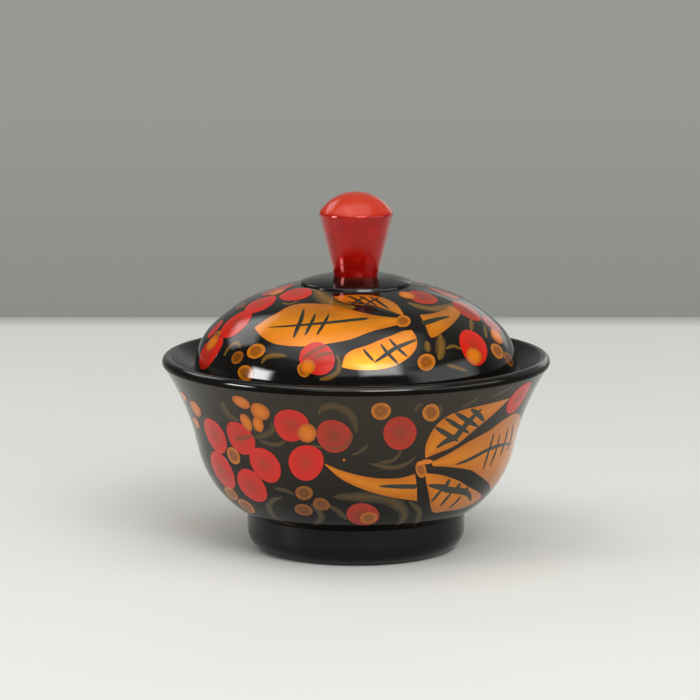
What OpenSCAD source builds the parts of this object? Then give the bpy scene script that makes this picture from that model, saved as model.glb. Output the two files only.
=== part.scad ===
// Lidded salt cellar, turned from wood in three pieces: a footed bowl, a loose domed lid that drops into the
// bowl's rim, and a knob that is glued into the lid by its tenon.
// Millimetres, +Z up. The origin is on the table, under the middle of the foot.

/* [Bowl] */
// Widest diameter, over the lip
rim_d = 90; // [84:0.5:104]
// Height from the table to the top of the lip
bowl_h = 45.4; // [42:0.1:54]
// Radius of the rounded lip
lip_round = 1.35; // [1:0.05:1.8]
// How far the lip's rounding goes under, in degrees below the horizontal
lip_tuck = 33.5; // [25:0.5:42]
// Diameter at the waist, where the belly turns into the flare
waist_d = 73.6; // [69:0.2:78]
// Height of the waist above the table
waist_z = 24.2; // [21:0.1:27]
// Thickness of the wall at the waist
wall = 4.5; // [3.5:0.1:6.5]
// Thickness of the floor, above the recess under the foot
floor_t = 8.8; // [5:0.1:11]

/* [Foot] */
// Diameter of the foot
foot_d = 50.7; // [46:0.1:55]
// Height of the foot
foot_h = 8.7; // [7:0.1:11]
// Radius of the foot's rounded lower edge
foot_round = 4.8; // [2:0.1:6]
// Width of the flat ring that the bowl stands on
foot_ring_w = 4; // [2:0.1:8]
// Depth of the recess inside the standing ring
foot_recess = 1.5; // [0.5:0.1:3]

/* [Lid seat] */
// Width of the sloping rim, from the lip's outside to the edge of the seat
rim_w = 6.8; // [6:0.1:9]
// Depth of the seat below the top of the lip
seat_depth = 3.4; // [2.6:0.1:5]
// Width of the flat seat
seat_w = 4.2; // [3:0.1:5.5]
// Gap all round between the lid's edge and the edge of the seat
lid_gap = 0.8; // [0.4:0.1:1.4]
// Height of the ring under the lid that keeps it in the middle
spigot_h = 3; // [2:0.1:5]
// Thickness of that ring
spigot_w = 3; // [2:0.1:4.5]
// Gap all round between that ring and the bowl's mouth
spigot_gap = 0.4; // [0.3:0.05:0.8]
// Depth of the straight mouth below the end of that ring
mouth_spare = 1; // [0.5:0.1:3]

/* [Lid] */
// Height of the dome above the seat, where it meets the collar
dome_h = 20; // [17:0.1:25]
// Slope of the dome where it meets the collar, in degrees
dome_slope = 12; // [8:0.5:16]
// How far the top of the shoulder lies in from the lid's edge
shoulder_in = 3.6; // [2.5:0.1:5]
// How far the top of the shoulder lies below the collar
shoulder_drop = 10.25; // [8.5:0.05:12]
// Diameter of the crown, where the dome gets flatter
crown_d = 45.8; // [40:0.2:50]
// How far the edge of the crown lies below the collar
crown_drop = 2.95; // [2.4:0.05:4]
// Height of the lid's upright edge
lid_side = 1.2; // [0.8:0.1:2.5]
// Radius of the lid's rounded lower edge
lid_edge_round = 0.5; // [0.2:0.05:0.7]
// Wood left between the knob's hole and the hollow under the lid
crown_wall = 2.8; // [2:0.1:5]

/* [Collar] */
// Diameter of the collar round the knob
collar_d = 26; // [22:0.2:30]
// Height of the collar's upright side
collar_side = 0.6; // [0.4:0.05:1.2]
// Rise of the collar's rounded top from its side to the knob
collar_rise = 1.5; // [1:0.05:2.2]

/* [Knob] */
// Diameter of the neck, where the knob stands on the collar
neck_d = 10.2; // [9.2:0.1:12]
// Diameter at the knob's widest edge, before rounding
knob_d = 17.2; // [15:0.1:20]
// Height of the widest edge above the collar
knob_edge_h = 14.4; // [13:0.05:16]
// Height of the knob's domed top above the collar
knob_h = 19.35; // [18:0.05:21]
// Radius of the rounded widest edge
knob_edge_round = 0.8; // [0.3:0.05:1.2]
// Diameter of the tenon under the knob
tenon_d = 8; // [6:0.1:8.6]
// Length of the tenon
tenon_l = 6; // [4:0.1:8]
// Gap all round the tenon, for glue
glue_gap = 0.05; // [0.02:0.01:0.1]
// Depth of the hole below the end of the tenon, for glue
glue_room = 0.3; // [0.1:0.1:1]

/* [Hidden] */

black = "#1d1917";
red = "#a8231b";

// Largest turn of one straight step along a rounded stretch, in degrees
arc_step = 3;
$fn = 120;

rim_r = rim_d / 2;
waist = [waist_d / 2, waist_z];
foot_r = foot_d / 2;
foot_edge = min(foot_round, foot_h - 1);
foot_recess_r = foot_r - foot_edge - foot_ring_w;
foot_top = [foot_r, foot_h];

seat_z = bowl_h - seat_depth;
seat_r = rim_r - rim_w;
mouth_r = seat_r - seat_w;
mouth_z = seat_z - spigot_h - mouth_spare;

// The lip is a circle: it starts where the flare meets it and ends where the sloping rim leaves it
lip = [rim_r - lip_round, bowl_h - lip_round];
lip_start = -lip_tuck;
rim_slope = chord_dir([seat_r, seat_z], lip) + asin(lip_round / distance([seat_r, seat_z], lip));
lip_end = rim_slope + 90;
flare_top = on_circle(lip, lip_round, lip_start);

// Directions of the outside at the waist and at the foot, worked down from the lip, so that the arcs run on smoothly
waist_dir = dir_before(waist, flare_top, lip_start + 90);
belly_dir = dir_before(foot_top, waist, waist_dir);

// The inside runs along the wall at the waist, then down to the floor in one arc
floor_z = foot_recess + floor_t;
inwards = [-sin(waist_dir), cos(waist_dir)];
inside_waist = waist + wall * inwards;
inside_r = (inside_waist[1] - floor_z) / (1 - cos(waist_dir));
inside_centre = inside_waist + inside_r * inwards;

lid_r = seat_r - lid_gap;
spigot_r = mouth_r - spigot_gap;
hollow_r = spigot_r - spigot_w;
dome_z = seat_z + dome_h;
collar_r = collar_d / 2;
collar_edge = [collar_r, dome_z + collar_side];
neck_r = neck_d / 2;
neck_z = dome_z + collar_side + collar_rise;
shoulder = [lid_r - shoulder_in, dome_z - shoulder_drop];
crown = [crown_d / 2, dome_z - crown_drop];
dome_end = [collar_r, dome_z];
crown_dir = dir_before(crown, dome_end, 180 - dome_slope);
shoulder_dir = dir_before(shoulder, crown, crown_dir);
lid_edge = [lid_r, seat_z + lid_side];
edge_dir = dir_before(lid_edge, shoulder, shoulder_dir);
collar_dir = dir_before(collar_edge, [neck_r, neck_z], 180);

hole_r = tenon_d / 2 + glue_gap;
hole_z = neck_z - tenon_l - glue_room;
hollow_h = hole_z - crown_wall - seat_z;

knob_edge = [knob_d / 2, neck_z + knob_edge_h];
knob_top = [0, neck_z + knob_h];
knob_dome_dir = dir_before(knob_edge, knob_top, 180);

function distance(a, b) = norm(b - a);

// Direction of the straight line from a to b
function chord_dir(a, b) = atan2(b[1] - a[1], b[0] - a[0]);

// Direction in which an arc leaves a, if it reaches b in direction d
function dir_before(a, b, d) = 2 * chord_dir(a, b) - d;

function on_circle(c, r, angle) = c + r * [cos(angle), sin(angle)];

function steps(turn) = max(2, ceil(abs(turn) / arc_step));

// Points of a circle from one angle to another, without the first
function round_on(c, r, from, to) =
    let (n = steps(to - from))
    [for (i = [1 : n]) on_circle(c, r, from + (to - from) * i / n)];

// Distance from an arc's start to a point on it, as a share of its chord
function chord_share(half_turn, t) = abs(half_turn) < 0.01 ? t : sin(half_turn * t) / sin(half_turn);

// Points of the arc that leaves a in direction d and ends at b, without a
function arc(a, b, d) =
    let (half_turn = chord_dir(a, b) - d, n = steps(2 * half_turn))
    [for (i = [1 : n]) on_circle(a, distance(a, b) * chord_share(half_turn, i / n), d + half_turn * i / n)];

// Points of the corner b between a and c, rounded with radius r
function rounded(a, b, c, r) =
    let (
        into = chord_dir(a, b),
        out = chord_dir(b, c),
        turn = out - into,
        back = r * tan(turn / 2),
        start = b - back * [cos(into), sin(into)],
        centre = start + r * [-sin(into), cos(into)]
    )
    concat([start], round_on(centre, r, into - 90, out - 90));

module turned(outline) {
    rotate_extrude() polygon(outline);
}

module bowl() {
    ring = [foot_recess_r, 0];
    outside = concat(
        [[0, foot_recess], [foot_recess_r, foot_recess], ring],
        rounded(ring, [foot_r, 0], foot_top, foot_edge),
        [foot_top],
        arc(foot_top, waist, belly_dir),
        arc(waist, flare_top, waist_dir),
        round_on(lip, lip_round, lip_start, lip_end)
    );
    inside = concat(
        [[seat_r, seat_z], [mouth_r, seat_z], [mouth_r, mouth_z], inside_waist],
        round_on(inside_centre, inside_r, waist_dir - 90, -90),
        [[0, floor_z]]
    );
    color(black) turned(concat(outside, inside));
}

module lid() {
    under = [spigot_r, seat_z];
    hollow = [for (i = [1 : steps(90)]) let (a = 90 - 90 * i / steps(90))
        [hollow_r * cos(a), seat_z + hollow_h * sin(a)]];
    outside = concat(
        [[hollow_r, seat_z - spigot_h], [spigot_r, seat_z - spigot_h], under],
        rounded(under, [lid_r, seat_z], lid_edge, lid_edge_round),
        [lid_edge],
        arc(lid_edge, shoulder, edge_dir),
        arc(shoulder, crown, shoulder_dir),
        arc(crown, dome_end, crown_dir),
        [collar_edge],
        arc(collar_edge, [neck_r, neck_z], collar_dir)
    );
    hole = [[hole_r, neck_z], [hole_r, hole_z], [0, hole_z]];
    color(black) turned(concat([[0, seat_z + hollow_h]], hollow, outside, hole));
}

module knob() {
    tenon_z = neck_z - tenon_l;
    neck = [neck_r, neck_z];
    tenon = [[0, tenon_z], [tenon_d / 2, tenon_z], [tenon_d / 2, neck_z], neck];
    edge = rounded(neck, knob_edge, on_circle(knob_edge, 1, knob_dome_dir), knob_edge_round);
    dome_start = edge[len(edge) - 1];
    dome = arc(dome_start, knob_top, dir_before(dome_start, knob_top, 180));
    color(red) turned(concat(tenon, edge, dome));
}

bowl();
lid();
knob();
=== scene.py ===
# Looks of the lidded salt cellar: turned wood in black lacquer, painted with berries and leaves.
# Lengths are in millimetres, as in the part's source, until a mesh is made. Floor and lights are in metres.
import math

import bmesh
import bpy
import numpy as np
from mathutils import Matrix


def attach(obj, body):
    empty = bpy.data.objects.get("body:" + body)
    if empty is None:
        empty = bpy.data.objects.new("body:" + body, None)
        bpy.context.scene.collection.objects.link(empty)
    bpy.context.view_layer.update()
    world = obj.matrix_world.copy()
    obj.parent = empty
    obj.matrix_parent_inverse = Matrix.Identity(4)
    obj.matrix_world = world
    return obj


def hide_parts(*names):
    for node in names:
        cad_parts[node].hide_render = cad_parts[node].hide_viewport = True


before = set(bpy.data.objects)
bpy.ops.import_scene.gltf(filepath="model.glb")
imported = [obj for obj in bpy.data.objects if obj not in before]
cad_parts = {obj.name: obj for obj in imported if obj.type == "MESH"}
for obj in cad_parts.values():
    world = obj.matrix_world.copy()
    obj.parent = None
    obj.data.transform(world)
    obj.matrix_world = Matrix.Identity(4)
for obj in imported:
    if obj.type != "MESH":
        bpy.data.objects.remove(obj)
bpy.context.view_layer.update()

MM = 0.001

# Sizes of the turned pieces, as in the part's source; a point is a radius and a height
RIM_R = 45.0
BOWL_H = 45.4
LIP_ROUND = 1.35
LIP_TUCK = math.radians(33.5)
WAIST = (36.8, 24.2)
WALL = 4.5
FLOOR_Z = 10.3
FOOT_R = 25.35
FOOT_H = 8.7
FOOT_ROUND = 4.8
FOOT_RECESS = 1.5
FOOT_RECESS_R = 16.55
SEAT_R = 38.2
SEAT_Z = 42.0
MOUTH_R = 34.0
MOUTH_Z = 38.0
SPIGOT_R = 33.6
SPIGOT_Z = 39.0
HOLLOW_R = 30.6
HOLLOW_H = 13.0
LID_R = 37.4
LID_SIDE = 1.2
LID_EDGE_ROUND = 0.5
SHOULDER = (33.8, 51.75)
CROWN = (22.9, 59.05)
DOME_END = (13.0, 62.0)
DOME_SLOPE = math.radians(12)
NECK = (5.1, 64.1)
HOLE_R = 4.05
HOLE_Z = 57.8
TENON_R = 4.0
TENON_Z = 58.1
KNOB_EDGE = (8.6, 78.5)
KNOB_EDGE_ROUND = 0.8
KNOB_TOP = (0, 83.45)

# In the looks alone, the collar's side leans inwards and its edge is softened
COLLAR_EDGE = (12.8, 62.6)
COLLAR_EDGE_ROUND = 0.5

# Angle on the lip's rounding where its dull underside ends and its gloss starts
LIP_GLOSS = math.radians(10)

# The turned meshes: faces round the axis, largest turn of one straight step, least turn of a sharp edge
SEGMENTS = 256
ARC_STEP = math.radians(1.5)
SHARP = math.radians(28)

# The photograph's camera: picture size and focal length in pixels, its place, and the point it looks at
PHOTO_SIZE = 700
FOCAL_PIXELS = 4367.0
SENSOR = 36.0
CAMERA_AT = np.array([-1.39, -1000.0, 212.4])
CAMERA_AIM = np.array([-1.39, 0.0, 46.4])
VIEW_DEPTH = np.linalg.norm(CAMERA_AIM - CAMERA_AT)
FORWARD = (CAMERA_AIM - CAMERA_AT) / VIEW_DEPTH
RIGHT = np.array([1.0, 0.0, 0.0])
UP = np.cross(RIGHT, FORWARD)

# Search for what lies under a pixel: how far to both sides of the view's depth, and in which steps
RAY_REACH = 60.0
RAY_STEP = 0.05

# Least slope to the view that counts when a dab is spread out as the camera sees it
GRAZING = 0.3

# In the photograph the lid lies this many pixels to the left of the bowl's axis; here it is on the axis
LID_SHIFT = 3.0

# The ornament comes again on the back, up to these turns from the front
BOWL_BACK_LIMIT = math.radians(88)
LID_BACK_LIMIT = math.radians(72)

# Per coat of paint: its height above the wood, its material slot, and its paint on the bowl and on the lid
COATS = {
    "curls": (0.02, "olive_paint", "olive_paint", "lid_olive_paint"),
    "leaves": (0.035, "gold_paint", "leaf_paint", "lid_leaf_paint"),
    "berries": (0.05, "berry_paint", "berry_paint", "berry_paint"),
    "dim_berries": (0.05, "berry_paint", "dim_berry_paint", "dim_berry_paint"),
    "ochres": (0.058, "gold_paint", "ochre_berry_paint", "ochre_berry_paint"),
    "dim_ochres": (0.058, "gold_paint", "dim_ochre_paint", "dim_ochre_paint"),
    "golds": (0.064, "gold_paint", "gold_berry_paint", "gold_berry_paint"),
    "washes": (0.07, "olive_paint", "wash_paint", "wash_paint"),
    "veins": (0.08, "black_lacquer", "vein_paint", "vein_paint"),
}

# How deep a patch of paint is rooted in the wood, and how far a dab keeps from the ground's ends
PAINT_ROOT = 0.12
PAINT_MARGIN = 0.3

# Fineness and ends of the marks of paint
SPLINE_STEPS = 10
LEAF_ROWS = 50
LEAF_COLUMNS = 19
LEAF_TIP = 0.1
STROKE_ROWS = 24
STROKE_COLUMNS = 5
STROKE_TAPER = 0.3
STROKE_TIP = 0.05
DAB_RINGS = 6
DAB_SECTORS = 40
DAB_WOBBLE = 0.03

# Sockets of the Mix node that take and give colours, by number, because their names repeat
MIX_SHARE = 0
MIX_A = 6
MIX_B = 7
MIX_RESULT = 2
NOISE_DETAIL = 2.0

# Clear lacquer: slow waves, fine turning marks and a varying polish; scales are per metre, depths in metres
LACQUER_IOR = 1.42
LACQUER_SPECULAR = 0.5
COAT_IOR = 1.35
WAVE_SCALE = 95.0
WAVE_DEPTH = 0.00004
MARK_SCALE = 420.0
MARK_DEPTH = 0.0000004
MARK_DISTORTION = 2.0
MARK_DETAIL = 2.0
POLISH_SCALE = 160.0
POLISH_DETAIL = 4.0
POLISH_FROM = (0.3, 0.7)
POLISH_TO = (0.75, 1.3)

# Change of tone in plain lacquer
TONE_SCALE = 220.0
TONE_DETAIL = 4.0
TONE_FROM = (0.35, 0.65)
TONE_DARK = 0.75

# Plain lacquers. Between two heights a colour may change to the one above; on the wall the darker colour
# below is painted shade, and on the knob the lighter red above is painted light. Metal powder below is given
# by its share and by the roughness of the lacquer on it.
BLACK = (0.005, 0.0045, 0.0035)
RED = (0.37, 0.004, 0.002)
# Heights over which the knob's red turns to the lighter red above, which is painted light on the dome
KNOB_PAINTED_LIGHT_CHANGE = (78.4, 79.4)
LACQUERS = {
    "black_lacquer": dict(colour=BLACK, roughness=0.07),
    "satin_lacquer": dict(colour=BLACK, roughness=0.25, specular=0.16),
    "foot_lacquer": dict(colour=BLACK, roughness=0.14, specular=0.20),
    "dull_lacquer": dict(colour=BLACK, roughness=0.25, specular=0.03),
    # The wall's own colour is a dark brown; its fade to near black towards the bottom is painted shade under
    # the belly
    "wall_lacquer_shaded_below": dict(
        colour=(0.003, 0.002, 0.001), roughness=0.08, specular=0.25,
        above=(0.027, 0.021, 0.014), change=(12, 38),
    ),
    # Both knob reds turn lighter and more orange above the edge: painted light from above on the dome
    "red_lacquer": dict(
        colour=RED, roughness=0.12, above=(0.49, 0.036, 0.013), change=KNOB_PAINTED_LIGHT_CHANGE, metal=(0.27, 0.05),
    ),
    "knob_top_lacquer": dict(
        colour=RED, roughness=0.35, above=(0.445, 0.034, 0.014), change=KNOB_PAINTED_LIGHT_CHANGE, metal=(0.06, 0.14),
    ),
    "inside_lacquer": dict(colour=(0.50, 0.225, 0.040), roughness=0.16, dark=0.88),
    "vein_paint": dict(colour=(0.022, 0.024, 0.014), roughness=0.09),
}

# Paints: three colours from the middle to the edge, and the streaks' scale along, across and between patches
BRUSH_SHARE = 0.6
BRUSH_SCALE = 1.0
BRUSH_DETAIL = 3.0
PAINT_STOPS = (0.05, 0.88)
RAMP_END = 2.0
PAINT_ROUGHNESS = 0.09
METAL_ROUGHNESS = 0.42
LEAF_METAL = 0.75
CURL_BRUSH_SHARE = 1.2
BERRY_STREAK = (0.5, 0.5, 3.0)
GOLD_STREAK = (0.7, 0.7, 3.0)
LEAF_STREAK = (0.15, 1.5, 3.0)
CURL_STREAK = (0.2, 2.0, 3.0)
WASH_STREAK = (0.2, 1.5, 3.0)
PAINTS = {
    "berry_paint": dict(
        colours=((0.30, 0.020, 0.004), (0.42, 0.012, 0.003), (0.48, 0.010, 0.003)), streak=BERRY_STREAK,
    ),
    "dim_berry_paint": dict(
        colours=((0.20, 0.025, 0.007), (0.27, 0.020, 0.005), (0.33, 0.016, 0.004)), streak=BERRY_STREAK,
    ),
    "gold_berry_paint": dict(
        colours=((0.54, 0.140, 0.003), (0.54, 0.135, 0.003), (0.38, 0.090, 0.002)), streak=GOLD_STREAK,
    ),
    "ochre_berry_paint": dict(
        colours=((0.25, 0.070, 0.002), (0.19, 0.050, 0.002), (0.42, 0.125, 0.004)), streak=GOLD_STREAK,
    ),
    "dim_ochre_paint": dict(
        colours=((0.14, 0.038, 0.002), (0.11, 0.030, 0.002), (0.23, 0.066, 0.003)), streak=GOLD_STREAK,
    ),
    "leaf_paint": dict(
        colours=((0.60, 0.185, 0.004), (0.56, 0.165, 0.003), (0.50, 0.140, 0.002)),
        streak=LEAF_STREAK, metallic=LEAF_METAL,
    ),
    "lid_leaf_paint": dict(
        colours=((0.74, 0.245, 0.007), (0.70, 0.220, 0.005), (0.63, 0.185, 0.004)),
        streak=LEAF_STREAK, metallic=LEAF_METAL,
    ),
    "olive_paint": dict(
        colours=((0.064, 0.036, 0.007), (0.042, 0.025, 0.005), (0.012, 0.007, 0.003)),
        streak=CURL_STREAK, brush_share=CURL_BRUSH_SHARE,
    ),
    "lid_olive_paint": dict(
        colours=((0.145, 0.074, 0.010), (0.094, 0.048, 0.008), (0.014, 0.009, 0.004)),
        streak=CURL_STREAK, brush_share=CURL_BRUSH_SHARE,
    ),
    "wash_paint": dict(
        colours=((0.17, 0.032, 0.006), (0.20, 0.030, 0.006), (0.28, 0.024, 0.005)), streak=WASH_STREAK,
    ),
}

# The floor: its left, right, near and far sides, its tones, and the grey that it fades to at the far side
FLOOR = (-0.9, 0.9, -1.4, 0.342)
FLOOR_TONES = ((0.65, 0.66, 0.625), (0.68, 0.69, 0.655))
FLOOR_TONE_SCALE = 12.0
FLOOR_ROUGHNESS = 0.6
FAR_FADE = 0.02
FAR_GREY = (0.36, 0.37, 0.34)

# The room round it: colours, directions, and the limits between which one colour goes over into the next
ROOM = (0.08, 0.08, 0.08)
WALL_GREY = (0.305, 0.314, 0.292)
WALL_FOOT = (0.262, 0.268, 0.248)
CEILING = (0.3, 0.3, 0.29)
BEHIND = (0.4, 1, 0.3)
AHEAD = (0, -0.42, 0.906)
CEILING_HEIGHT = (0.42, 0.6)
CEILING_AHEAD = (0.45, 0.75)
WALL_FOOT_HEIGHT = (-0.155, -0.11)
ROOM_HEIGHT = (-0.04, 0.0)
WALL_BEHIND = (0.7, 1.0)

# Panels of light: azimuth from the front to the right, elevation, distance, width, height and power
PANELS = {
    "key": (19, 35.5, 1.5, 0.68, 0.58, 10.8),
    "glow": (8, 35.5, 1.45, 1.67, 0.58, 3.95),
    "front": (14, 71, 1.0, 1.05, 0.95, 4.8),
    "overhead": (-65, 62, 0.7, 0.55, 0.40, 0.8),
    "right": (68, 13, 0.9, 0.85, 0.50, 2.5),
    "window": (-72.5, 8, 0.9, 0.23, 0.36, 3.0),
    "shine": (-71.5, 7, 0.89, 0.27, 0.38, 4.0),
    "side": (-133, 37, 0.9, 0.42, 0.27, 0.88),
    "back": (158, 11, 0.9, 0.38, 0.22, 0.18),
}
# Panels that show in gloss alone
GLOSS_PANELS = ("shine",)
# A panel's middle, how far its sides lie from it, and over what share of its size it fades there
PANEL_MIDDLE = (0.5, 0.5, 0.0)
PANEL_SIDE = 0.5
PANEL_FADE = 0.2

# The ornament, by pixels of the photograph; lengths and widths are in millimetres, tilts in degrees.
# A dab has a middle, half a length, half a width and a tilt. A leaf has an upper and a lower edge, from its
# base outwards, and maybe a tip round the side. A stroke has a line and a width, and maybe the shares of its
# length over which its start and its end are drawn out.
BOWL_DABS = {
    "berries": (
        ((215, 435.5), 4.3, 1.95, 63),
        ((240.5, 438), 4.1, 2.6, 55),
        ((222, 471), 4.75, 1.95, 63),
        ((265, 465), 4.4, 2.95, 52),
        ((251.5, 486.5), 4.4, 2.5, 48),
        ((291, 425), 3.85, 3.6, 30),
        ((306, 462.5), 4.05, 3.9, 0),
        ((518.5, 397.5), 4.4, 1.3, -53),
    ),
    "dim_berries": (
        ((334, 436), 3.95, 3.65, 20),
        ((400, 433), 3.85, 3.6, -20),
        ((363, 515.5), 3.85, 2.4, 5),
    ),
    "golds": (
        ((195.7, 408.5), 2.05, 0.9, 60),
        ((196.4, 422.5), 1.4, 0.7, 65),
        ((183.5, 396), 1.4, 0.7, 55),
        ((241.2, 402), 2.2, 1.1, 32),
        ((260, 411.4), 2.3, 1.7, 40),
        ((246.3, 422.3), 2.15, 1.0, 60),
        ((258.3, 424), 1.8, 1.15, 68),
        ((307, 433), 2.15, 2.05, 0),
        ((344, 460), 0.3, 0.3, 0),
    ),
    "ochres": (
        ((233.6, 455.7), 2.05, 1.25, 60),
        ((246.4, 506.4), 2.3, 1.0, 38),
        ((231, 493.6), 2.05, 0.9, 45),
        ((381, 411), 2.25, 1.85, 0),
        ((431, 412.5), 2.0, 1.85, -30),
        ((368.6, 518), 2.0, 1.2, -5),
        ((420.8, 469.5), 1.9, 1.15, 75),
    ),
    "dim_ochres": (
        ((304, 493), 1.95, 1.6, 10),
        ((321.4, 504.3), 1.9, 1.35, 15),
        ((303.6, 510), 2.05, 1.25, 15),
    ),
}
BOWL_LEAVES = {
    "tail": (
        ((325, 463.4), (340, 470), (360, 475.5), (380, 478.5), (400, 478), (415, 474)),
        ((325, 464.8), (340, 478), (360, 488), (380, 494.5), (400, 498.5), (417, 501)),
    ),
    "upper": (
        ((425, 457), (426, 444), (435, 427), (446, 417), (461, 410.5), (481, 405.5), (508.3, 398.4)),
        ((425.7, 458), (435, 454), (454, 446), (466, 437), (479, 426), (492, 415.5), (508.6, 399.6)),
    ),
    "middle": (
        ((432, 462), (450, 453), (470, 441), (490, 430), (505, 419), (518, 414)),
        ((432.5, 466), (450, 467), (470, 470), (480, 476), (488, 482), (494, 487)),
        (96, 22),
    ),
    "lower": (
        ((425, 473), (441, 475), (458, 480.5), (469, 487), (481, 494)),
        ((425.4, 475), (427, 486), (432, 511), (446, 511), (461, 508.5), (473, 503.5), (481.5, 497)),
    ),
}
BOWL_STROKES = {
    "golds": (
        (((417.8, 465), (424, 462), (433, 461.5)), 1.1),
    ),
    "veins": (
        (((379, 486), (395, 486.3), (417, 486.5)), 1.1, 0.6, 0.02),
        (((436, 448), (446, 441), (455, 437), (463, 428), (470, 420), (477, 413), (482, 409)), 1.6),
        (((435, 427), (445, 433), (458, 441)), 1.1),
        (((445, 418), (456, 425), (469, 433)), 1.0),
        (((455, 412.5), (466, 419.5), (478, 426.5)), 1.1),
        (((471, 409), (478, 414), (484, 421)), 1.1),
        (((455, 465), (470, 459), (485, 451), (497, 446), (512, 443)), 0.8),
        (((494, 433), (489, 450), (483, 470)), 0.6),
        (((500, 434), (496, 450), (490, 466)), 0.6),
        (((508, 428), (505, 441), (500, 456)), 0.6),
        (((513, 425), (511, 438), (507, 450)), 0.6),
        (((428, 485), (440, 487), (450, 490), (460, 491), (468, 494), (471, 501)), 1.6),
        (((450, 479), (447, 484), (444, 489)), 1.0),
        (((460, 483), (458, 487), (455, 491)), 1.0),
        (((468, 487), (466, 490), (463, 493)), 1.0),
        (((442, 489), (437, 495), (431, 502)), 0.7),
        (((451, 493), (446, 499), (440, 506)), 0.7),
        (((461, 496), (456, 502), (449, 508)), 0.7),
    ),
    "curls": (
        (((223, 401), (225, 409), (230, 416), (239, 420)), 2.8),
        (((271, 422), (273, 429), (266, 434.5), (254, 437.5)), 2.0),
        (((247, 414), (251, 420), (254, 428), (256, 434)), 1.1),
        (((258, 439), (268, 443.5), (279, 444.5), (286, 440)), 1.5),
        (((309, 445.5), (317, 446.5), (324, 447)), 0.9),
        (((319, 415), (321, 409.5), (331, 406), (341, 408), (350, 414), (355, 423), (356.5, 433)), 3.0),
        (((283, 497), (273, 500), (268.5, 507), (274, 516), (286, 523), (297, 526)), 1.8),
        (((274, 488.5), (284, 490), (294, 494.5)), 1.1),
        (((311, 504), (320, 513), (320, 520), (313, 526)), 1.7),
        (((328, 505), (339, 512), (347, 520)), 1.7),
        (((333, 496.5), (355, 497), (378, 498), (393.6, 502), (404, 512), (402, 521), (395, 526)), 3.2),
        (((409, 501), (419, 511), (418, 520), (413, 526)), 1.5),
        (((416, 456), (408, 463), (392, 467.5), (369, 463.5)), 1.3),
        (((402, 450), (393.5, 460), (378, 463)), 1.1),
        (((368, 444), (361, 451), (352, 455)), 1.0),
        (((461, 408), (473, 401.5), (479, 395.5)), 1.2),
        (((492, 397), (502, 392), (513, 386)), 1.1),
        (((416, 412), (418, 406.5), (424, 404)), 1.5),
        (((439, 403.5), (441.5, 410), (438, 418)), 1.3),
    ),
    "washes": (
        (((324, 447), (338.5, 448.5), (348.5, 441.5), (352, 433)), 1.2),
        (((235, 439), (244, 438), (253, 435)), 1.0),
    ),
}
LID_DABS = {
    "berries": (
        ((294.4, 293.3), 4.15, 1.3, -14),
        ((275, 289.5), 4.1, 0.8, -20),
        ((257.3, 303.8), 3.95, 1.35, -24),
        ((233, 323), 4.5, 1.8, -41),
        ((212, 329), 2.8, 0.6, -50),
        ((205.6, 352), 4.5, 1.7, -58),
        ((313.8, 357.7), 4.0, 3.7, 0),
        ((471, 346), 4.4, 2.7, 58),
    ),
    "dim_berries": (
        ((419.5, 297), 3.6, 1.3, 14),
        ((441, 293), 3.7, 0.8, 20),
        ((463.8, 310), 3.95, 1.25, 33),
        ((488, 323.5), 2.8, 0.9, 42),
    ),
    "golds": (
        ((274.4, 292), 2.15, 0.65, -20),
        ((209, 343), 2.0, 0.9, -55),
        ((305, 366.8), 1.65, 1.65, 0),
        ((403.5, 295), 1.85, 0.75, 12),
        ((493.8, 336), 2.1, 0.9, 55),
        ((471, 356), 2.0, 1.6, 50),
    ),
    "ochres": (
        ((214, 335), 1.2, 0.5, -50),
        ((242.5, 373), 1.85, 1.65, 70),
        ((300.5, 370), 1.7, 1.3, 60),
        ((494.4, 351), 2.0, 1.1, 58),
        ((400, 321), 1.75, 1.3, 0),
        ((253, 351), 2.1, 1.6, -25),
        ((423.5, 362), 1.95, 1.95, 0),
    ),
    "dim_ochres": (
        ((238, 306), 1.2, 0.6, -30),
        ((234.4, 357.5), 1.6, 1.15, -50),
        ((506, 359.4), 1.85, 0.8, 65),
    ),
}
LID_LEAVES = {
    "big": (
        (
            (252, 327.4), (262.5, 319.8), (275, 312.5), (290, 305), (307.5, 303.5),
            (327.5, 305), (345, 309), (370, 315), (394, 318),
        ),
        (
            (252, 328.6), (260, 337.5), (272.5, 344), (292.5, 346.3), (310, 345.5),
            (335, 342), (350, 338.5), (370, 331), (396, 324.5),
        ),
    ),
    "top": (
        ((331, 296.6), (345, 295), (360, 295), (375, 296.5), (386, 300), (394, 305), (400, 313.5)),
        ((331, 297.6), (340, 302), (350, 304), (365, 306), (380, 309), (391, 312.5), (400, 315.5)),
    ),
    "low": (
        (
            (408, 330), (400, 331), (390, 335), (378, 339.5),
            (364, 345.5), (350, 350), (342, 356), (339, 366),
        ),
        (
            (409, 330.6), (413.5, 338), (413.5, 347), (408, 355), (399, 362),
            (388, 367), (370, 370), (350, 369.5), (339.6, 367.5),
        ),
    ),
    "tail": (
        ((417, 315), (430, 313.3), (440, 310), (447.5, 306), (458, 311.5)),
        ((417.5, 316.5), (422.5, 326), (428.6, 337.5), (442.5, 330), (453.5, 319.5), (458, 313)),
    ),
}
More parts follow.
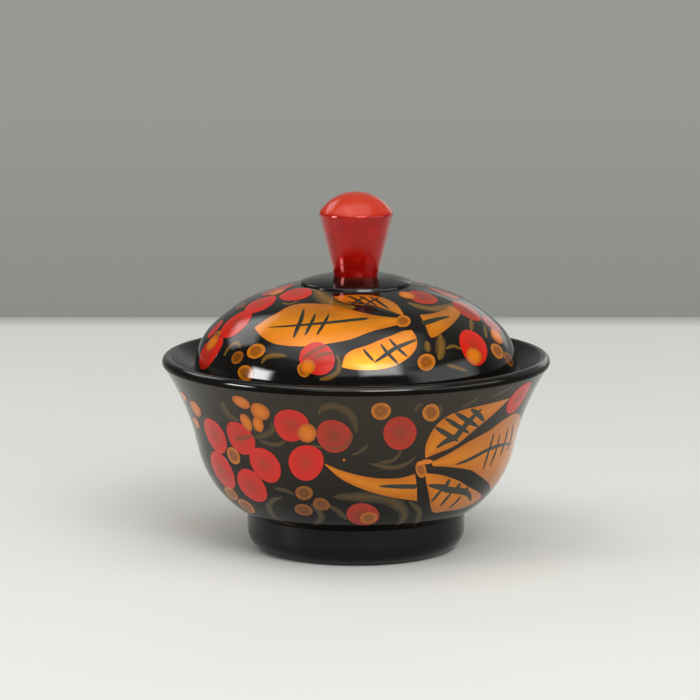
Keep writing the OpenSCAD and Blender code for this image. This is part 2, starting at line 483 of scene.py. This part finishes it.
LID_STROKES = {
    "veins": (
        (((301, 309), (298, 320), (293, 332), (290.6, 338)), 0.9),
        (((312.5, 314), (309, 322), (302, 335.5)), 0.7),
        (((326, 314), (322.5, 321), (314, 335)), 0.7),
        (((414, 339.3), (394, 347.5), (384, 353.8), (371, 362.8)), 0.9),
        (((386, 338.8), (394, 347.5), (404.5, 357)), 0.7),
        (((377.5, 343.8), (384, 352.5), (395.5, 364.3)), 0.7),
        (((360, 348.8), (365, 355), (371, 361.5)), 0.6),
        (((344, 302), (360, 304), (378, 309), (396, 315)), 0.8),
        (((345, 296), (354, 300), (362, 304)), 0.7),
        (((356, 296), (364, 300), (374, 306)), 0.7),
        (((366, 296.5), (374, 301), (386, 309)), 0.7),
        (((348, 305), (356, 300), (362, 297)), 0.6),
        (((362, 305), (369, 301), (376, 298)), 0.6),
        (((266, 327.5), (292.5, 325.6), (327.5, 322.5), (366, 318.3)), 0.9, 0.8, 0.05),
        (((446.5, 316.5), (435, 319), (418.5, 324)), 1.3, 0.7, 0.02),
    ),
    "curls": (
        (((312.5, 287), (319, 296), (330, 303.5), (342, 307), (353, 307)), 5.0),
        (((258.5, 364), (262.5, 357.8), (271, 355.5), (284, 356)), 1.6),
        (((333.8, 355), (336.5, 362.5), (335, 371), (326, 377.5), (316, 379.5)), 1.5),
        (((221, 356), (226, 347.5), (233.5, 342.5), (238, 348)), 1.6),
        (((279, 302.5), (286, 304), (296, 301)), 1.2),
        (((404, 302.5), (420, 307.5), (435, 308.5), (453, 303.5)), 3.4),
        (((437.5, 334), (438, 347), (436, 360)), 2.9),
        (((424, 341), (425, 352)), 1.9),
        (((442.5, 349), (450, 346), (459, 349)), 1.1),
        (((443.5, 365), (453.5, 367.5), (464, 371)), 1.2),
        (((468.5, 319), (468, 331)), 1.5),
        (((481.5, 325), (483, 338)), 1.5),
    ),
    "washes": (
        (((299, 359), (313, 350), (324, 345)), 1.2),
        (((311, 357.5), (321, 354), (331, 354)), 1.2),
    ),
}


def heading(a, b):
    return math.atan2(b[1] - a[1], b[0] - a[0])


def heading_before(a, b, end):
    """Heading in which an arc leaves a, if it reaches b in heading end."""
    return 2 * heading(a, b) - end


def on_circle(centre, radius, angle):
    return (centre[0] + radius * math.cos(angle), centre[1] + radius * math.sin(angle))


def steps(turn):
    return max(2, math.ceil(abs(turn) / ARC_STEP))


def round_on(centre, radius, start, stop):
    """Points of a circle from one angle to another, without the first."""
    n = steps(stop - start)
    return [on_circle(centre, radius, start + (stop - start) * i / n) for i in range(1, n + 1)]


def arc(a, b, start):
    """Points of the arc that leaves a in heading start and ends at b, without a."""
    turn = 2 * (heading(a, b) - start)
    n = steps(turn)
    across = math.dist(a, b) / math.sin(turn / 2)
    halves = [turn * i / n / 2 for i in range(1, n + 1)]
    return [on_circle(a, across * math.sin(half), start + half) for half in halves]


def rounded(a, b, c, radius):
    """Points of the corner b between a and c, rounded."""
    into, out = heading(a, b), heading(b, c)
    start = on_circle(b, -radius * math.tan((out - into) / 2), into)
    centre = on_circle(start, radius, into + math.pi / 2)
    return [start] + round_on(centre, radius, into - math.pi / 2, out - math.pi / 2)


# Outlines of the turned pieces, from the axis round to the axis

def bowl_outlines():
    """The foot, the painted wall, the lip's dull and glossy parts, the sloping rim, and the inside."""
    lip = (RIM_R - LIP_ROUND, BOWL_H - LIP_ROUND)
    seat = (SEAT_R, SEAT_Z)
    rim_slope = heading(seat, lip) + math.asin(LIP_ROUND / math.dist(seat, lip))
    flare_top = on_circle(lip, LIP_ROUND, -LIP_TUCK)
    waist_heading = heading_before(WAIST, flare_top, math.pi / 2 - LIP_TUCK)
    foot_top = (FOOT_R, FOOT_H)
    wall = [foot_top]
    wall += arc(foot_top, WAIST, heading_before(foot_top, WAIST, waist_heading))
    wall += arc(WAIST, flare_top, waist_heading)
    ring = (FOOT_RECESS_R, 0)
    foot = [(0, FOOT_RECESS), (FOOT_RECESS_R, FOOT_RECESS), ring]
    foot += rounded(ring, (FOOT_R, 0), foot_top, FOOT_ROUND)
    lip_low = round_on(lip, LIP_ROUND, -LIP_TUCK, LIP_GLOSS)
    lip_top = round_on(lip, LIP_ROUND, LIP_GLOSS, rim_slope + math.pi / 2)
    rim = [lip_top.pop(), seat]
    inwards = waist_heading + math.pi / 2
    inner_waist = on_circle(WAIST, WALL, inwards)
    radius = (inner_waist[1] - FLOOR_Z) / (1 - math.cos(waist_heading))
    middle = on_circle(inner_waist, radius, inwards)
    inside = [(MOUTH_R, SEAT_Z), (MOUTH_R, MOUTH_Z), inner_waist]
    inside += round_on(middle, radius, waist_heading - math.pi / 2, -math.pi / 2)
    inside += [(0, FLOOR_Z)]
    return foot, wall, lip_low, lip_top, rim, inside


def lid_outlines():
    """The painted dome, the hollow, and the rest: locating ring, edge, dome, collar and the knob's hole."""
    crown_heading = heading_before(CROWN, DOME_END, math.pi - DOME_SLOPE)
    shoulder_heading = heading_before(SHOULDER, CROWN, crown_heading)
    edge = (LID_R, SEAT_Z + LID_SIDE)
    dome = [edge]
    dome += arc(edge, SHOULDER, heading_before(edge, SHOULDER, shoulder_heading))
    dome += arc(SHOULDER, CROWN, shoulder_heading)
    dome += arc(CROWN, DOME_END, crown_heading)
    n = steps(math.pi / 2)
    quarter = [math.pi / 2 * (1 - i / n) for i in range(n + 1)]
    hollow = [(HOLLOW_R * math.cos(a), SEAT_Z + HOLLOW_H * math.sin(a)) for a in quarter]
    hollow[0] = (0, SEAT_Z + HOLLOW_H)
    under = (SPIGOT_R, SEAT_Z)
    rest = [(HOLLOW_R, SPIGOT_Z), (SPIGOT_R, SPIGOT_Z), under]
    rest += rounded(under, (LID_R, SEAT_Z), edge, LID_EDGE_ROUND)
    rest += dome
    collar_heading = heading_before(COLLAR_EDGE, NECK, math.pi)
    collar_next = on_circle(COLLAR_EDGE, 1, collar_heading)
    rest += rounded(DOME_END, COLLAR_EDGE, collar_next, COLLAR_EDGE_ROUND)
    rest += arc(rest[-1], NECK, heading_before(rest[-1], NECK, math.pi))
    rest += [(HOLE_R, NECK[1]), (HOLE_R, HOLE_Z), (0, HOLE_Z)]
    return dome, hollow, rest


def knob_outlines():
    """The tenon with the tapered side and the rounded edge, and the domed top."""
    tenon = [(0, TENON_Z), (TENON_R, TENON_Z), (TENON_R, NECK[1]), NECK]
    dome_heading = heading_before(KNOB_EDGE, KNOB_TOP, math.pi)
    edge = rounded(NECK, KNOB_EDGE, on_circle(KNOB_EDGE, 1, dome_heading), KNOB_EDGE_ROUND)
    dome = arc(edge[-1], KNOB_TOP, heading_before(edge[-1], KNOB_TOP, math.pi))
    return tenon + edge[:-1], edge[-1:] + dome[:-1] + [KNOB_TOP]


# Meshes

def turned(name, stretches):
    """A closed piece, turned from an outline that starts and ends on the axis. The outline comes in
    stretches, each with its material."""
    outline = [point for points, _ in stretches for point in points]
    coat = [material for points, material in stretches for _ in points]
    materials = list(dict.fromkeys(coat))
    angles = np.arange(SEGMENTS) * 2 * math.pi / SEGMENTS
    points, rings = [], []
    for r, z in outline:
        first = len(points)
        count = SEGMENTS if r > 0 else 1
        points += [(r * math.cos(a) * MM, r * math.sin(a) * MM, z * MM) for a in angles[:count]]
        rings.append([first + i % count for i in range(SEGMENTS + 1)])
    faces, slots = [], []
    for row, (low, high) in enumerate(zip(rings, rings[1:])):
        for i in range(SEGMENTS):
            corners = (low[i], low[i + 1], high[i + 1], high[i])
            faces.append(list(dict.fromkeys(corners)))
            slots.append(materials.index(coat[row]))
    mesh = bpy.data.meshes.new(name)
    mesh.from_pydata(points, [], faces)
    mesh.polygons.foreach_set("material_index", slots)
    close(mesh)
    mesh.set_sharp_from_angle(angle=SHARP)
    return piece(name, mesh, materials)


def close(mesh):
    """Turns every face outwards and shades it smoothly."""
    work = bmesh.new()
    work.from_mesh(mesh)
    bmesh.ops.recalc_face_normals(work, faces=work.faces)
    work.to_mesh(mesh)
    work.free()
    mesh.shade_smooth()


def piece(name, mesh, materials):
    made = bpy.data.objects.new(name, mesh)
    bpy.context.scene.collection.objects.link(made)
    for material in materials:
        mesh.materials.append(material)
    return made


# Places for paint, by turn round the axis (0 in front, + to the right) and by length along the outline

class Ground:
    """A turned outside that carries paint. Its outline runs from its lower to its upper end."""

    def __init__(self, outline, shift, back_limit):
        self.r, self.z = np.array(outline).T
        lengths = np.hypot(np.diff(self.r), np.diff(self.z))
        self.length = np.concatenate([[0], np.cumsum(lengths)])
        self.heading = np.arctan2(np.gradient(self.z, self.length), np.gradient(self.r, self.length))
        self.shift = shift
        self.back_limit = back_limit

    def radius(self, along):
        return np.interp(along, self.length, self.r)

    def place(self, turn, along, height):
        """Points at a height above the ground, and the ground's normals there."""
        lean = np.interp(along, self.length, self.heading)
        r = self.radius(along) + height * np.sin(lean)
        z = np.interp(along, self.length, self.z) - height * np.cos(lean)
        x, y = np.sin(turn), -np.cos(turn)
        normals = np.stack([x * np.sin(lean), y * np.sin(lean), -np.cos(lean)], axis=-1)
        return np.stack([x * r, y * r, z], axis=-1), normals

    def under(self, pixels):
        """Turn and length of what the photograph shows at these pixels. Just outside, the nearest edge
        counts."""
        across, down = (np.asarray(pixels, float) + [self.shift, 0] - PHOTO_SIZE / 2).T / FOCAL_PIXELS
        rays = FORWARD + across[:, None] * RIGHT - down[:, None] * UP
        depths = np.arange(VIEW_DEPTH - RAY_REACH, VIEW_DEPTH + RAY_REACH, RAY_STEP)
        points = CAMERA_AT + depths[None, :, None] * rays[:, None, :]
        x, y, z = np.moveaxis(points, -1, 0)
        gap = np.hypot(x, y) - np.interp(z, self.z, self.r)
        gap[(z < self.z[0]) | (z > self.z[-1])] = np.inf
        inside = gap < 0
        hit = np.where(inside.any(axis=1), inside.argmax(axis=1), gap.argmin(axis=1))
        pick = np.arange(len(hit)), hit
        return np.arctan2(x[pick], -y[pick]), np.interp(z[pick], self.z, self.length)

    def seen(self, turn, along):
        """How far round and how far up one millimetre to the right goes, and one down, as the camera sees
        them."""
        point, normal = self.place(turn, along, 0)
        lean = np.interp(along, self.length, self.heading)
        aside = np.array([np.cos(turn), np.sin(turn), 0])
        upward = np.array([np.sin(turn) * np.cos(lean), -np.cos(turn) * np.cos(lean), np.sin(lean)])
        ray = (point - CAMERA_AT) / np.linalg.norm(point - CAMERA_AT)
        facing = min(normal @ ray, -GRAZING)
        moves = [step - ray * (normal @ step) / facing for step in (RIGHT, -UP)]
        return np.array([[move @ aside, move @ upward] for move in moves])

    def turns(self, turn):
        """The front of the ornament comes again on the back, where the photograph doesn't show it."""
        return (0, math.pi) if abs(np.mean(turn)) < self.back_limit else (0,)


class Layer:
    """Thin paint of one kind, gathered into one mesh of closed patches on one ground."""

    def __init__(self, ground, height):
        self.ground = ground
        self.height = height
        self.points, self.normals, self.faces, self.edges, self.grains = [], [], [], [], []
        self.size = 0
        self.patches = 0

    def add(self, turn, along, faces, loop, edge, grain):
        """A patch with its faces, the loop of points round it, and per point what the material needs: edge,
        from the middle to the edge, and grain, the place in the patch."""
        self.patches += 1
        sides = list(zip(loop, loop[1:] + loop[:1]))
        for shift in self.ground.turns(turn):
            top, normals = self.ground.place(turn + shift, along, self.height)
            root, _ = self.ground.place(turn + shift, along, -PAINT_ROOT)
            first, low = self.size, self.size + len(top)
            self.faces += [[first + i for i in face] for face in faces]
            self.faces += [[low + i for i in reversed(face)] for face in faces]
            self.faces += [[first + b, first + a, low + a, low + b] for a, b in sides]
            self.points += [top, root]
            self.normals += [normals, normals]
            own = np.column_stack([grain, np.full(len(top), self.patches + shift)])
            self.edges += [edge, edge]
            self.grains += [own, own]
            self.size += 2 * len(top)

    def made(self, name, material):
        mesh = bpy.data.meshes.new(name)
        mesh.from_pydata(np.concatenate(self.points) * MM, [], self.faces)
        close(mesh)
        edge = mesh.attributes.new("edge", "FLOAT", "POINT")
        edge.data.foreach_set("value", np.concatenate(self.edges))
        grain = mesh.attributes.new("grain", "FLOAT_VECTOR", "POINT")
        grain.data.foreach_set("vector", np.concatenate(self.grains).ravel())
        mesh.normals_split_custom_set_from_vertices(np.concatenate(self.normals))
        return piece(name, mesh, [material])


# Marks of paint

def spline(points, count):
    """Evenly spaced points on a smooth line through the given ones."""
    p = np.asarray(points, float)
    ends = np.vstack([2 * p[0] - p[1], p, 2 * p[-1] - p[-2]])
    t = np.linspace(0, 1, SPLINE_STEPS, endpoint=False)[:, None]
    spans = []
    for a, b, c, d in zip(ends, ends[1:], ends[2:], ends[3:]):
        linear = (c - a) * t / 2
        square = (a - 2.5 * b + 2 * c - d / 2) * t**2
        cube = (1.5 * (b - c) + (d - a) / 2) * t**3
        spans.append(b + linear + square + cube)
    line = np.vstack(spans + [p[-1:]])
    length = np.concatenate([[0], np.cumsum(np.hypot(*np.diff(line, axis=0).T))])
    at = np.linspace(0, length[-1], count)
    return np.stack([np.interp(at, length, line[:, k]) for k in (0, 1)], axis=-1)


def sheet(layer, turn, along, grain):
    """A patch of paint on a grid of places: rows run along the stroke, columns across it."""
    rows, columns = turn.shape
    number = np.arange(rows * columns).reshape(rows, columns)
    corners = (number[:-1, :-1], number[1:, :-1], number[1:, 1:], number[:-1, 1:])
    faces = np.stack(corners, axis=-1).reshape(-1, 4).tolist()
    loop = [*number[0, :], *number[1:, -1], *number[-1, -2::-1], *number[-2:0:-1, 0]]
    edge = np.tile(np.linspace(-1, 1, columns), rows)
    layer.add(turn.ravel(), along.ravel(), faces, [int(i) for i in loop], edge, grain.reshape(-1, 2))


def leaf(layer, upper, lower, tip=None):
    """A leaf between two edges, each a line of pixels from its base outwards. A tip round the side, which the
    photograph doesn't show, is a turn in degrees and a length along the outline."""
    ground = layer.ground
    scale = ground.r.max()
    sides = []
    for edge, side in ((upper, 1), (lower, -1)):
        turn, along = ground.under(edge)
        line = list(zip(turn * scale, along))
        if tip:
            line.append((math.radians(tip[0]) * scale, tip[1] + LEAF_TIP * side))
        sides.append(spline(line, LEAF_ROWS))
    share = np.linspace(0, 1, LEAF_COLUMNS)[:, None]
    places = sides[0][:, None] * (1 - share) + sides[1][:, None] * share
    sheet(layer, places[..., 0] / scale, places[..., 1], places)


def stroke(layer, line, width, start=STROKE_TAPER, end=STROKE_TAPER):
    """A brush stroke along a line of pixels, with its ends drawn out over the given shares of its length."""
    ground = layer.ground
    turn, along = ground.under(spline(line, STROKE_ROWS))
    radius = ground.radius(along)
    ahead, rise = np.gradient(turn) * radius, np.gradient(along)
    speed = np.hypot(ahead, rise)
    t = np.linspace(0, 1, STROKE_ROWS)
    taper = np.sqrt(np.clip(t / start, 0, 1) * np.clip((1 - t) / end, 0, 1))
    half = width / 2 * taper + STROKE_TIP
    across = half[:, None] * np.linspace(-1, 1, STROKE_COLUMNS)
    grain = np.stack(np.broadcast_arrays(np.cumsum(speed)[:, None], across), axis=-1)
    turn = turn[:, None] - across * (rise / speed / radius)[:, None]
    along = along[:, None] + across * (ahead / speed)[:, None]
    sheet(layer, turn, along, grain)


def dab(layer, pixel, half_length, half_width, tilt):
    """A round dab of paint. Its size is as the camera sees it, and its tilt in degrees counts down to the
    right."""
    ground = layer.ground
    turn, along = (found[0] for found in ground.under([pixel]))
    angle = np.arange(DAB_SECTORS) * 2 * math.pi / DAB_SECTORS
    bulge = 1 + DAB_WOBBLE * (np.sin(2 * angle + pixel[0]) + np.sin(3 * angle + pixel[1]) / 2)
    share = np.arange(1, DAB_RINGS + 1)[:, None] / DAB_RINGS
    x = np.append(0, half_length * share * bulge * np.cos(angle))
    y = np.append(0, half_width * share * bulge * np.sin(angle))
    lean = math.radians(tilt)
    across = x * math.cos(lean) - y * math.sin(lean)
    down = x * math.sin(lean) + y * math.cos(lean)
    grain = np.stack([across, down], axis=-1) @ ground.seen(turn, along)
    aside, upward = grain.T
    room = np.where(upward > 0, ground.length[-1] - along, along) - PAINT_MARGIN
    upward = upward * np.minimum(1, room / np.where(upward > 0, upward.max(), -upward.min()))
    ring = np.arange(1, 1 + DAB_RINGS * DAB_SECTORS).reshape(DAB_RINGS, DAB_SECTORS)
    following = np.roll(ring, -1, axis=1)
    faces = [[0, int(a), int(b)] for a, b in zip(ring[0], following[0])]
    corners = (ring[:-1], ring[1:], following[1:], following[:-1])
    faces += np.stack(corners, axis=-1).reshape(-1, 4).tolist()
    edge = np.append(0, np.repeat(share.ravel(), DAB_SECTORS))
    layer.add(turn + aside / ground.radius(along), along + upward, faces, ring[-1].tolist(), edge, grain)


def draw(layers, dabs, leaves, strokes):
    """The whole ornament of one ground, each mark in the layer of its coat."""
    for coat, rows in dabs.items():
        for row in rows:
            dab(layers[coat], *row)
    for row in leaves.values():
        leaf(layers["leaves"], *row)
    for coat, rows in strokes.items():
        for row in rows:
            stroke(layers[coat], *row)


# Materials

def add_node(tree, kind, inputs=None, **settings):
    made = tree.nodes.new(kind)
    for key, value in settings.items():
        setattr(made, key, value)
    for key, value in (inputs or {}).items():
        if isinstance(value, bpy.types.NodeSocket):
            tree.links.new(value, made.inputs[key])
        else:
            made.inputs[key].default_value = value
    return made


def new_material(name):
    made = bpy.data.materials.new(name)
    made.use_nodes = True
    return made, made.node_tree, made.node_tree.nodes["Principled BSDF"]


def noise(tree, place, scale, detail=NOISE_DETAIL):
    inputs = {"Vector": place, "Scale": scale, "Detail": detail}
    return add_node(tree, "ShaderNodeTexNoise", inputs).outputs["Fac"]


def spread(tree, value, low, high, to_low=0.0, to_high=1.0):
    """A value that goes from one range to another, and no further."""
    inputs = {"Value": value, "From Min": low, "From Max": high, "To Min": to_low, "To Max": to_high}
    return add_node(tree, "ShaderNodeMapRange", inputs).outputs["Result"]


def math_node(tree, operation, *values):
    return add_node(tree, "ShaderNodeMath", dict(enumerate(values)), operation=operation).outputs[0]


def vector_math(tree, operation, *values):
    return add_node(tree, "ShaderNodeVectorMath", dict(enumerate(values)), operation=operation).outputs


def mixed(tree, share, a, b):
    """Colour between a and b, each a colour or a socket."""
    made = add_node(tree, "ShaderNodeMix", data_type="RGBA")
    for socket, value in ((MIX_SHARE, share), (MIX_A, a), (MIX_B, b)):
        if isinstance(value, bpy.types.NodeSocket):
            tree.links.new(value, made.inputs[socket])
        else:
            made.inputs[socket].default_value = (*value, 1)
    return made.outputs[MIX_RESULT]


def gloss(tree, shader, roughness):
    """Clear lacquer: slow waves and fine turning marks in its surface, and a polish that varies a little."""
    place = add_node(tree, "ShaderNodeTexCoord").outputs["Object"]
    inputs = {"Vector": place, "Scale": MARK_SCALE, "Distortion": MARK_DISTORTION, "Detail": MARK_DETAIL}
    marks = add_node(tree, "ShaderNodeTexWave", inputs, wave_type="BANDS", bands_direction="Z").outputs["Fac"]
    waves = noise(tree, place, WAVE_SCALE)
    inputs = {"Height": waves, "Strength": 1.0, "Distance": WAVE_DEPTH}
    bump = add_node(tree, "ShaderNodeBump", inputs).outputs["Normal"]
    inputs = {"Height": marks, "Strength": 1.0, "Distance": MARK_DEPTH, "Normal": bump}
    fine = add_node(tree, "ShaderNodeBump", inputs).outputs["Normal"]
    tree.links.new(fine, shader.inputs["Normal"])
    low, high = (share * roughness for share in POLISH_TO)
    polish = spread(tree, noise(tree, place, POLISH_SCALE, POLISH_DETAIL), *POLISH_FROM, low, high)
    tree.links.new(polish, shader.inputs["Roughness"])
    shader.inputs["IOR"].default_value = LACQUER_IOR
    return place


def metal_below(shader, metallic, roughness):
    """Lets the ground shine like metal powder below clear lacquer."""
    shader.inputs["Metallic"].default_value = metallic
    shader.inputs["Specular IOR Level"].default_value = 0.0
    shader.inputs["Coat Weight"].default_value = 1.0
    shader.inputs["Coat Roughness"].default_value = roughness
    shader.inputs["Coat IOR"].default_value = COAT_IOR


def lacquer(
    name, colour, roughness, specular=LACQUER_SPECULAR, above=None, change=None, dark=TONE_DARK, metal=None,
):
    """Plain lacquer, with a slight change of tone. Between two heights it may change to the colour above."""
    made, tree, shader = new_material(name)
    place = gloss(tree, shader, roughness)
    shader.inputs["Specular IOR Level"].default_value = specular
    if metal:
        metal_below(shader, *metal)
    tone = spread(tree, noise(tree, place, TONE_SCALE, TONE_DETAIL), *TONE_FROM)
    shade = mixed(tree, tone, tuple(dark * c for c in colour), colour)
    # On the wall this change is painted shade towards the bottom, on the knob painted light on the dome
    if above:
        height = add_node(tree, "ShaderNodeSeparateXYZ", {0: place}).outputs["Z"]
        low, high = (z * MM for z in change)
        shade = mixed(tree, spread(tree, height, low, high), shade, above)
    tree.links.new(shade, shader.inputs["Base Color"])
    return made


def paint(name, colours, streak, brush_share=BRUSH_SHARE, metallic=0.0):
    """Paint under clear lacquer: three colours from the middle to the edge, streaked by the brush. Metallic
    paint is dull below the lacquer."""
    made, tree, shader = new_material(name)
    gloss(tree, shader, METAL_ROUGHNESS if metallic else PAINT_ROUGHNESS)
    if metallic:
        metal_below(shader, metallic, PAINT_ROUGHNESS)
    grain = add_node(tree, "ShaderNodeAttribute", attribute_name="grain").outputs["Vector"]
    edge = add_node(tree, "ShaderNodeAttribute", attribute_name="edge").outputs["Fac"]
    bristles = add_node(tree, "ShaderNodeMapping", {"Vector": grain, "Scale": streak}).outputs["Vector"]
    brush = noise(tree, bristles, BRUSH_SCALE, BRUSH_DETAIL)
    size = math_node(tree, "ABSOLUTE", edge)
    shaken = math_node(tree, "MULTIPLY_ADD", brush, brush_share, size)
    ramp = add_node(tree, "ShaderNodeValToRGB", {"Fac": spread(tree, shaken, 0.0, RAMP_END)})
    stops = ramp.color_ramp.elements
    first, last = ((share + brush_share / 2) / RAMP_END for share in PAINT_STOPS)
    stops[0].position = first
    stops[1].position = last
    stops.new((first + last) / 2)
    for stop, colour in zip(stops, colours):
        stop.color = (*colour, 1)
    tree.links.new(ramp.outputs["Color"], shader.inputs["Base Color"])
    return made


def floor_material():
    made, tree, shader = new_material("floor")
    place = add_node(tree, "ShaderNodeTexCoord").outputs["Object"]
    pale = mixed(tree, noise(tree, place, FLOOR_TONE_SCALE), *FLOOR_TONES)
    depth = add_node(tree, "ShaderNodeSeparateXYZ", {0: place}).outputs["Y"]
    *_, back = FLOOR
    far = spread(tree, depth, back - FAR_FADE, back)
    tree.links.new(mixed(tree, far, pale, FAR_GREY), shader.inputs["Base Color"])
    shader.inputs["Roughness"].default_value = FLOOR_ROUGHNESS
    return made


# Camera, floor and light

def add_camera():
    data = bpy.data.cameras.new("camera")
    data.sensor_width = SENSOR
    data.lens = FOCAL_PIXELS / PHOTO_SIZE * SENSOR
    camera = bpy.data.objects.new("camera", data)
    camera.location = CAMERA_AT * MM
    tilt = math.atan2(CAMERA_AT[2] - CAMERA_AIM[2], CAMERA_AIM[1] - CAMERA_AT[1])
    camera.rotation_euler = (math.pi / 2 - tilt, 0, 0)
    bpy.context.scene.collection.objects.link(camera)
    bpy.context.scene.camera = camera


def add_floor(material):
    left, right, near, far = FLOOR
    corners = [(left, near, 0), (right, near, 0), (right, far, 0), (left, far, 0)]
    mesh = bpy.data.meshes.new("floor")
    mesh.from_pydata(corners, [], [(0, 1, 2, 3)])
    piece("floor", mesh, [material])


def add_world():
    """A pale ceiling above and in front, a grey wall behind, and a dim room."""
    world = bpy.data.worlds.new("studio")
    world.use_nodes = True
    bpy.context.scene.world = world
    tree = world.node_tree
    sight = add_node(tree, "ShaderNodeTexCoord").outputs["Generated"]
    height = add_node(tree, "ShaderNodeSeparateXYZ", {0: sight}).outputs["Z"]
    behind = vector_math(tree, "DOT_PRODUCT", sight, BEHIND)["Value"]
    ahead = vector_math(tree, "DOT_PRODUCT", sight, AHEAD)["Value"]
    high = spread(tree, height, *CEILING_HEIGHT)
    lit = math_node(tree, "MULTIPLY", high, spread(tree, ahead, *CEILING_AHEAD))
    wall = mixed(tree, spread(tree, height, *WALL_FOOT_HEIGHT), WALL_FOOT, WALL_GREY)
    room = mixed(tree, spread(tree, behind, *WALL_BEHIND), ROOM, WALL_GREY)
    low = mixed(tree, spread(tree, height, *ROOM_HEIGHT), wall, room)
    colour = mixed(tree, lit, low, CEILING)
    tree.links.new(colour, tree.nodes["Background"].inputs["Color"])


def add_panel(name, azimuth, elevation, distance, wide, high, power, only_gloss):
    """A soft light that shines on the lid. Its sides are where it has faded by half. It may show in gloss
    alone."""
    data = bpy.data.lights.new(name, "AREA")
    data.shape = "RECTANGLE"
    data.size = wide / (1 - PANEL_FADE)
    data.size_y = high / (1 - PANEL_FADE)
    data.energy = power / (1 - PANEL_FADE) ** 2
    fade(data)
    lamp = bpy.data.objects.new(name, data)
    a, e = math.radians(azimuth), math.radians(elevation)
    lamp.location = (
        distance * math.sin(a) * math.cos(e),
        -distance * math.cos(a) * math.cos(e),
        distance * math.sin(e) + SHOULDER[1] * MM,
    )
    lamp.rotation_euler = (math.pi / 2 - e, 0, a)
    lamp.visible_diffuse = not only_gloss
    bpy.context.scene.collection.objects.link(lamp)


def fade(light):
    """Lets a panel fade towards its sides."""
    light.use_nodes = True
    tree = light.node_tree
    place = add_node(tree, "ShaderNodeNewGeometry").outputs["Parametric"]
    offset = vector_math(tree, "SUBTRACT", place, PANEL_MIDDLE)[0]
    size = vector_math(tree, "ABSOLUTE", offset)[0]
    parts = add_node(tree, "ShaderNodeSeparateXYZ", {0: size}).outputs
    outwards = math_node(tree, "MAXIMUM", parts["X"], parts["Y"])
    strength = spread(tree, outwards, PANEL_SIDE, PANEL_SIDE - PANEL_FADE)
    tree.links.new(strength, tree.nodes["Emission"].inputs["Strength"])


# Assembly

bpy.context.scene.view_settings.view_transform = "Standard"
add_camera()
add_world()
add_floor(floor_material())
for name, settings in PANELS.items():
    add_panel(name, *settings, only_gloss=name in GLOSS_PANELS)

finishes = {name: lacquer(name, **finish) for name, finish in LACQUERS.items()}
finishes |= {name: paint(name, **finish) for name, finish in PAINTS.items()}

foot, wall, lip_low, lip_top, rim, inside = bowl_outlines()
bowl = turned("bowl_turned", [
    (foot, finishes["foot_lacquer"]),
    (wall, finishes["wall_lacquer_shaded_below"]),
    (lip_low, finishes["dull_lacquer"]),
    (lip_top, finishes["black_lacquer"]),
    (rim, finishes["satin_lacquer"]),
    (inside, finishes["inside_lacquer"]),
])
dome, hollow, rest = lid_outlines()
lid = turned("lid_turned", [
    (hollow, finishes["inside_lacquer"]),
    (rest, finishes["black_lacquer"]),
])
knob_side, knob_dome = knob_outlines()
knob = turned("knob_turned", [
    (knob_side, finishes["red_lacquer"]),
    (knob_dome, finishes["knob_top_lacquer"]),
])
for made, node, body, slot in (
    (bowl, "bowl", "bowl", "black_lacquer"),
    (lid, "lid", "lid", "black_lacquer"),
    (knob, "knob", "lid", "red_lacquer"),
):
    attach(made, body)
    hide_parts(node)

ornaments = (
    ("bowl", Ground(wall, 0.0, BOWL_BACK_LIMIT), BOWL_DABS, BOWL_LEAVES, BOWL_STROKES),
    ("lid", Ground(dome, LID_SHIFT, LID_BACK_LIMIT), LID_DABS, LID_LEAVES, LID_STROKES),
)
for which, (body, ground, *marks) in enumerate(ornaments):
    layers = {coat: Layer(ground, height) for coat, (height, *_) in COATS.items()}
    draw(layers, *marks)
    for coat, (_, slot, *paints) in COATS.items():
        made = layers[coat].made(f"{body}_{coat}", finishes[paints[which]])
        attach(made, body)
